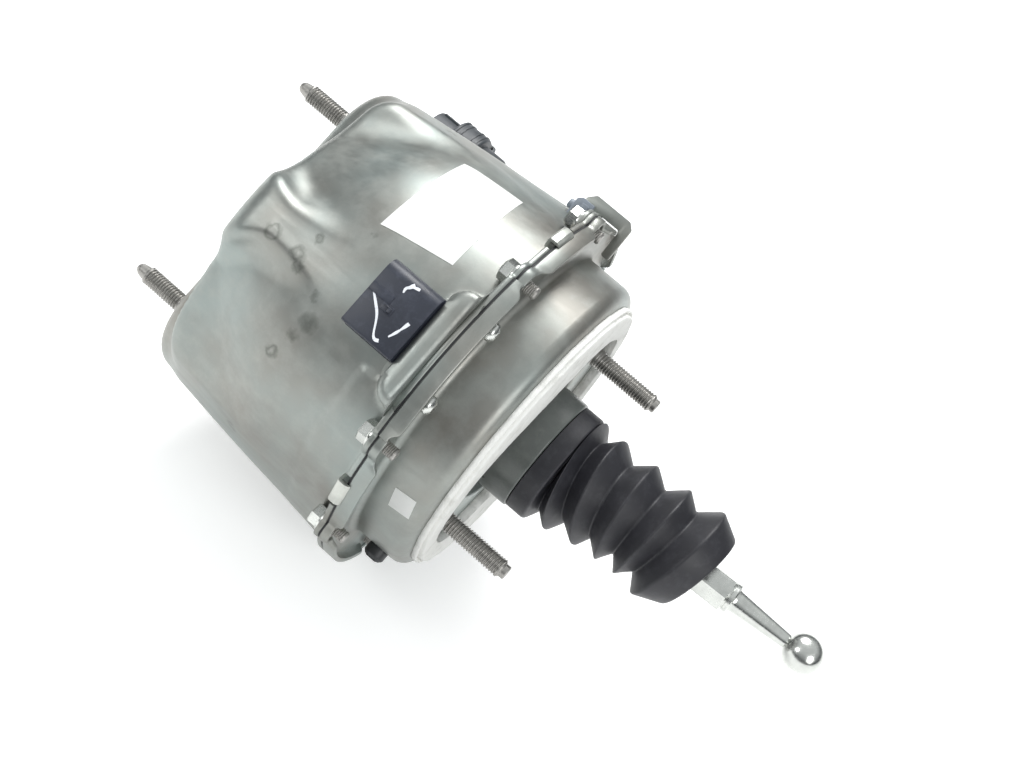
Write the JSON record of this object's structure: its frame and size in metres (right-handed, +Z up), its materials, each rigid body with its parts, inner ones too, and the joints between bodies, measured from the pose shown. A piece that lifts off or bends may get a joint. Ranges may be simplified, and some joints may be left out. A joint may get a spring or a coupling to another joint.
{
  "type": "brake booster",
  "caption": "Electric brake booster: pressed-steel motor housing with ball screw drive, two connectors, mounting studs, rubber bellows and ball-ended push rod.",
  "frame": {"origin": "centre of the rear sheet-metal mounting face, on the booster axis", "axes": "+Y along the axis towards the master cylinder, -Y towards the pedal, +Z up when mounted"},
  "size_m": [0.1926, 0.3073, 0.173],
  "materials": {
    "shell_steel": "pressed sheet steel, dull grey-green zinc plating",
    "plated_steel": "bright zinc plated",
    "ground_steel": "hardened and ground",
    "spring_steel": "oiled spring wire and strip",
    "laminations": "stacked electrical sheet",
    "cast_aluminium": "as cast, machined seats",
    "capacitor_can": "drawn can",
    "copper": "enamelled copper wire and bar",
    "tinned_contact": "tin plated",
    "magnet": "sintered and coated",
    "boot_rubber": "matt moulded rubber",
    "seal_rubber": "flat seal",
    "gasket_foam": "white closed-cell foam",
    "sleeve_plastic": "grey moulded",
    "black_plastic": "black moulded",
    "grey_plastic": "dark grey moulded",
    "clip_plastic": "bluish grey moulded",
    "board": "green solder mask",
    "package": "black moulded package",
    "choke_core": "painted powder core",
    "lead_cover": "insulated wire"
  },
  "bodies": {
    "housing": {"front_shell": "shell_steel", "rear_shell": "shell_steel", "flange_screws": "plated_steel", "connector_rivets": "plated_steel", "front_reinforcement": "plated_steel", "rear_reinforcement": "plated_steel", "master_cylinder_studs": "plated_steel", "bulkhead_studs": "plated_steel", "harness_bracket": "plated_steel", "carrier_screws": "plated_steel", "board_screws": "plated_steel", "guide_plate_screws": "plated_steel", "stator_carrier": "plated_steel", "rear_outer_race": "ground_steel", "front_outer_race": "ground_steel", "guide_plate": "ground_steel", "return_spring": "spring_steel", "spring_seat": "spring_steel", "stator_core": "laminations", "stator_coils": "copper", "phase_busbars": "copper", "motor_plate": "cast_aluminium", "front_bearing_plate": "cast_aluminium", "bellows": "boot_rubber", "breather_vent": "boot_rubber", "housing_seal": "seal_rubber", "bulkhead_gasket": "gasket_foam", "guide_sleeve": "sleeve_plastic", "signal_connector": "black_plastic", "power_connector": "grey_plastic", "bracket_clip": "clip_plastic", "control_board": "board", "board_chips": "package", "position_sensor": "package", "stroke_sensor": "package", "power_module": "package", "capacitors": "capacitor_can", "filter_choke": "choke_core", "signal_pins": "tinned_contact", "power_pins": "tinned_contact", "power_leads": "lead_cover"},
    "rotor": {"rotor_hub": "ground_steel", "rotor_magnets": "magnet", "ball_nut": "ground_steel", "rear_inner_race": "ground_steel", "front_inner_race": "ground_steel", "rear_bearing_balls": "ground_steel", "front_bearing_balls": "ground_steel", "position_magnet_ring": "magnet"},
    "spindle": {"spindle": "ground_steel", "reaction_disc": "boot_rubber", "output_rod": "ground_steel"},
    "plunger": {"plunger": "cast_aluminium", "input_spring": "spring_steel", "stroke_magnet": "magnet"},
    "push_rod": {"input_rod": "plated_steel", "ball_stud": "plated_steel"}
  },
  "joints": [
    {"name": "rotor_spin", "type": "hinge", "parent": "housing", "child": "rotor", "pos_m": [0, 0, 0], "axis": [0, 1, 0], "range_deg": [0, 2304]},
    {"name": "spindle_slide", "type": "slide", "parent": "housing", "child": "spindle", "axis": [0, 1, 0], "range_m": [0, 0.032]},
    {"name": "plunger_slide", "type": "slide", "parent": "housing", "child": "plunger", "axis": [0, 1, 0], "range_m": [0, 0.032], "stiffness_N_per_m": 1500, "springref_m": -0.012, "deforming": ["return_spring", "bellows"]},
    {"name": "rod_swivel", "type": "hinge", "parent": "plunger", "child": "push_rod", "pos_m": [0, 0.007, 0], "axis": [1, 0, 0], "range_deg": [0, 6.8], "deforming": ["bellows"]}
  ],
  "couplings": [
    {"joint": "spindle_slide", "follows": "rotor_spin", "m_per_rad": 0.00079577},
    {"joint": "plunger_slide", "follows": "rotor_spin", "m_per_rad": 0.00079577}
  ]
}
